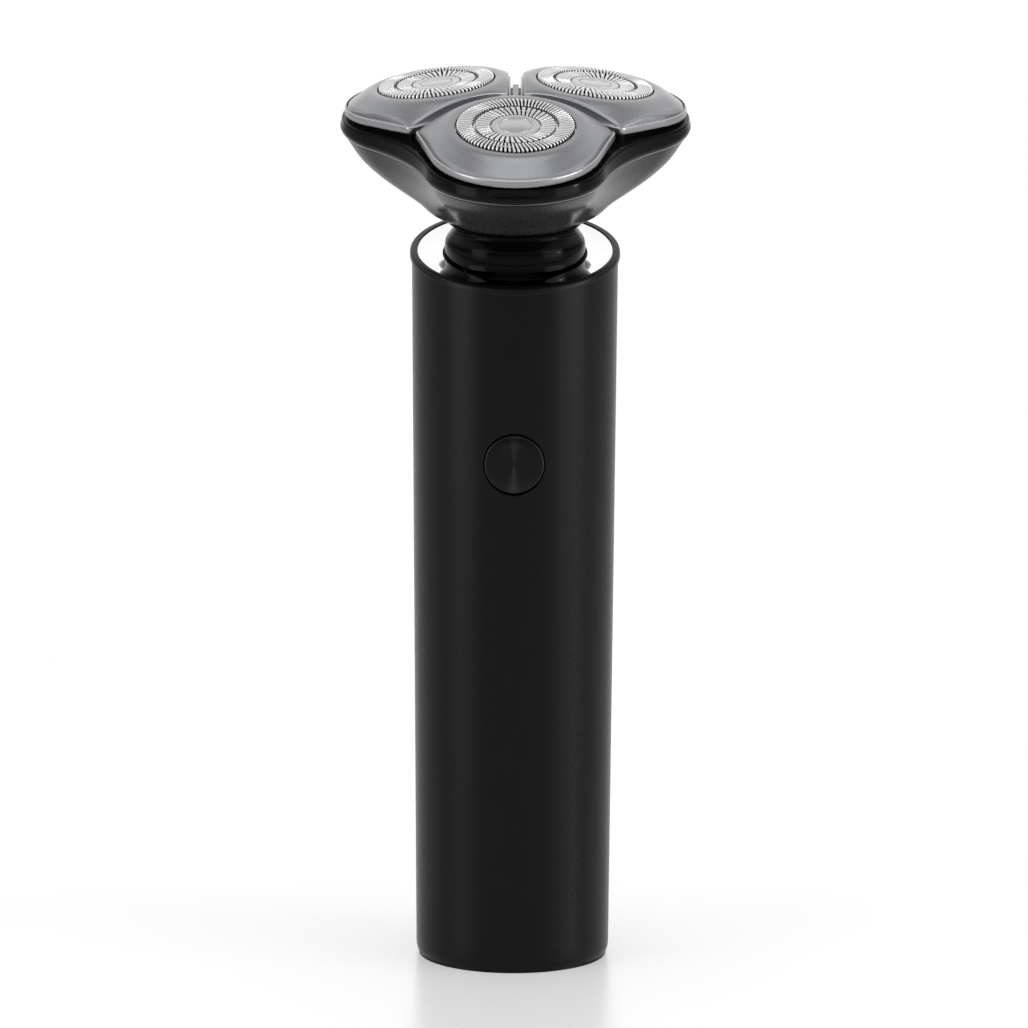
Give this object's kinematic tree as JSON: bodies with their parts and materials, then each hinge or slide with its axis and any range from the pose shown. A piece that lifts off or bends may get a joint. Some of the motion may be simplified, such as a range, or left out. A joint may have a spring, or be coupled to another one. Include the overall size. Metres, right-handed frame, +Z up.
{
  "type": "electric shaver",
  "caption": "Rotary electric shaver: slim round handle with a push button, mirror collar, swivelling neck and lift-off head with sprung cutters turned by a gear train.",
  "frame": {"origin": "centre of the flat underside the shaver stands on", "axes": "+Z up along the handle, -Y out of the front with the button, +X to the right seen from the back, which is the viewer's right seen from the front"},
  "size_m": [0.063, 0.0576, 0.1612],
  "materials": {
    "shell_black": "fine matte, soft to the touch",
    "rim_graphite": "satin",
    "dish_mirror": "mirror polish",
    "gloss_black": "high gloss",
    "bowl_graphite": "satin, slightly metallic",
    "petal_silver": "satin metallic paint",
    "blade_steel": "turned and polished",
    "button_disc": "spun, dark anodised",
    "seal_rubber": "matte",
    "frame_plastic": "plain moulded",
    "gear_acetal": "smooth, self-lubricating",
    "steel_plain": "plain machined",
    "contact_metal": "plated",
    "board_green": "lacquered laminate",
    "chip_black": "moulded",
    "cell_sleeve": "shrink sleeve",
    "magnet_nickel": "nickel plate",
    "winding_copper": "enamelled wire"
  },
  "bodies": {
    "handle": {"handle_tube": "shell_black", "rim_ring": "rim_graphite", "collar_dish": "dish_mirror", "neck_seal": "seal_rubber", "base_cap": "shell_black", "base_seal": "seal_rubber", "base_screws": "steel_plain", "charge_socket": "steel_plain", "socket_tongue": "chip_black", "chassis": "frame_plastic", "battery_cell": "cell_sleeve", "battery_contacts": "contact_metal", "circuit_board": "board_green", "board_chips": "chip_black", "tact_switch": "chip_black", "button_seal": "seal_rubber", "motor_mount": "frame_plastic", "motor_screws": "steel_plain", "motor_can": "steel_plain", "motor_magnets": "magnet_nickel", "motor_end_cap": "frame_plastic", "gimbal_post": "frame_plastic", "gimbal_post_pins": "steel_plain", "centring_spring": "steel_plain"},
    "button": {"power_button": "button_disc"},
    "rotor": {"motor_shaft": "steel_plain", "motor_armature": "winding_copper", "drive_dog": "gear_acetal"},
    "gimbal": {"gimbal_ring": "frame_plastic", "gimbal_ring_pins": "steel_plain"},
    "head_base": {"neck_shell": "gloss_black", "head_bowl": "bowl_graphite", "gear_plate": "frame_plastic", "gearbox_screws": "steel_plain", "gearbox_cover": "frame_plastic", "holding_magnets": "magnet_nickel"},
    "sun": {"sun_gear": "gear_acetal"},
    "shaving_unit": {"head_band": "gloss_black", "divider_frame": "petal_silver", "cutter_retainer": "frame_plastic", "holding_plates": "steel_plain", "petal_pins": "steel_plain"},
    "planet_front": {"planet_gear_front": "gear_acetal"},
    "spindle_front": {"drive_spindle_front": "gear_acetal", "spindle_spring_front": "steel_plain"},
    "petal_front": {"petal_front": "petal_silver", "guard_front": "blade_steel"},
    "cutter_front": {"cutter_front": "blade_steel"},
    "planet_right": {"planet_gear_right": "gear_acetal"},
    "spindle_right": {"drive_spindle_right": "gear_acetal", "spindle_spring_right": "steel_plain"},
    "petal_right": {"petal_right": "petal_silver", "guard_right": "blade_steel"},
    "cutter_right": {"cutter_right": "blade_steel"},
    "planet_left": {"planet_gear_left": "gear_acetal"},
    "spindle_left": {"drive_spindle_left": "gear_acetal", "spindle_spring_left": "steel_plain"},
    "petal_left": {"petal_left": "petal_silver", "guard_left": "blade_steel"},
    "cutter_left": {"cutter_left": "blade_steel"}
  },
  "joints": [
    {"name": "rotor_spin", "type": "hinge", "parent": "handle", "child": "rotor", "pos_m": [0, 0.00416, 0.10974], "axis": [0, -0.2079, 0.9781], "continuous": true},
    {"name": "button_press", "type": "slide", "parent": "handle", "child": "button", "axis": [0, 1, 0], "range_m": [0, 0.0007], "stiffness_N_per_m": 200},
    {"name": "head_nod", "type": "hinge", "parent": "handle", "child": "gimbal", "pos_m": [0, -0.00019, 0.13018], "axis": [1, 0, 0], "range_deg": [-6, 6], "stiffness_Nm_per_rad": 1},
    {"name": "head_sway", "type": "hinge", "parent": "gimbal", "child": "head_base", "pos_m": [0, -0.00019, 0.13018], "axis": [0, 0.9781, 0.2079], "range_deg": [-6, 6], "stiffness_Nm_per_rad": 1},
    {"name": "sun_spin", "type": "hinge", "parent": "head_base", "child": "sun", "pos_m": [0, -0.00249, 0.14104], "axis": [0, -0.2079, 0.9781], "continuous": true},
    {"name": "unit_lift", "type": "slide", "parent": "head_base", "child": "shaving_unit", "axis": [0, -0.2079, 0.9781], "range_m": [0, 0.01]},
    {"name": "planet_front_spin", "type": "hinge", "parent": "head_base", "child": "planet_front", "pos_m": [0, -0.017, 0.14], "axis": [0, -0.2079, 0.9781], "continuous": true},
    {"name": "spindle_front_spin", "type": "hinge", "parent": "head_base", "child": "spindle_front", "pos_m": [0, -0.02195, 0.15367], "axis": [0, -0.342, 0.9397], "continuous": true},
    {"name": "petal_front_tilt", "type": "hinge", "parent": "shaving_unit", "child": "petal_front", "pos_m": [0, -0.02107, 0.14956], "axis": [1, 0, 0], "range_deg": [-3, 0.8], "stiffness_Nm_per_rad": 0.06},
    {"name": "cutter_front_spin", "type": "hinge", "parent": "petal_front", "child": "cutter_front", "pos_m": [0, -0.02195, 0.15367], "axis": [0, -0.342, 0.9397], "continuous": true},
    {"name": "planet_right_spin", "type": "hinge", "parent": "head_base", "child": "planet_right", "pos_m": [0.01247, 0.00413, 0.14449], "axis": [0, -0.2079, 0.9781], "continuous": true},
    {"name": "spindle_right_spin", "type": "hinge", "parent": "head_base", "child": "spindle_right", "pos_m": [0.0142, 0.00212, 0.15878], "axis": [0.1205, -0.1378, 0.9831], "continuous": true},
    {"name": "petal_right_tilt", "type": "hinge", "parent": "shaving_unit", "child": "petal_right", "pos_m": [0.0142, 0.00299, 0.15468], "axis": [-0.5, 0.8471, 0.1801], "range_deg": [-3, 0.8], "stiffness_Nm_per_rad": 0.06},
    {"name": "cutter_right_spin", "type": "hinge", "parent": "petal_right", "child": "cutter_right", "pos_m": [0.0142, 0.00212, 0.15878], "axis": [0.1205, -0.1378, 0.9831], "continuous": true},
    {"name": "planet_left_spin", "type": "hinge", "parent": "head_base", "child": "planet_left", "pos_m": [-0.01247, 0.00413, 0.14449], "axis": [0, -0.2079, 0.9781], "continuous": true},
    {"name": "spindle_left_spin", "type": "hinge", "parent": "head_base", "child": "spindle_left", "pos_m": [-0.0142, 0.00212, 0.15878], "axis": [-0.1205, -0.1378, 0.9831], "continuous": true},
    {"name": "petal_left_tilt", "type": "hinge", "parent": "shaving_unit", "child": "petal_left", "pos_m": [-0.0142, 0.00299, 0.15468], "axis": [-0.5, -0.8471, -0.1801], "range_deg": [-3, 0.8], "stiffness_Nm_per_rad": 0.06},
    {"name": "cutter_left_spin", "type": "hinge", "parent": "petal_left", "child": "cutter_left", "pos_m": [-0.0142, 0.00212, 0.15878], "axis": [-0.1205, -0.1378, 0.9831], "continuous": true}
  ],
  "couplings": [
    {"joint": "sun_spin", "follows": "rotor_spin", "ratio": 1},
    {"joint": "planet_front_spin", "follows": "rotor_spin", "ratio": -0.71429},
    {"joint": "spindle_front_spin", "follows": "rotor_spin", "ratio": -0.71429},
    {"joint": "cutter_front_spin", "follows": "rotor_spin", "ratio": -0.71429},
    {"joint": "planet_right_spin", "follows": "rotor_spin", "ratio": -0.71429},
    {"joint": "spindle_right_spin", "follows": "rotor_spin", "ratio": -0.71429},
    {"joint": "cutter_right_spin", "follows": "rotor_spin", "ratio": -0.71429},
    {"joint": "planet_left_spin", "follows": "rotor_spin", "ratio": -0.71429},
    {"joint": "spindle_left_spin", "follows": "rotor_spin", "ratio": -0.71429},
    {"joint": "cutter_left_spin", "follows": "rotor_spin", "ratio": -0.71429}
  ]
}
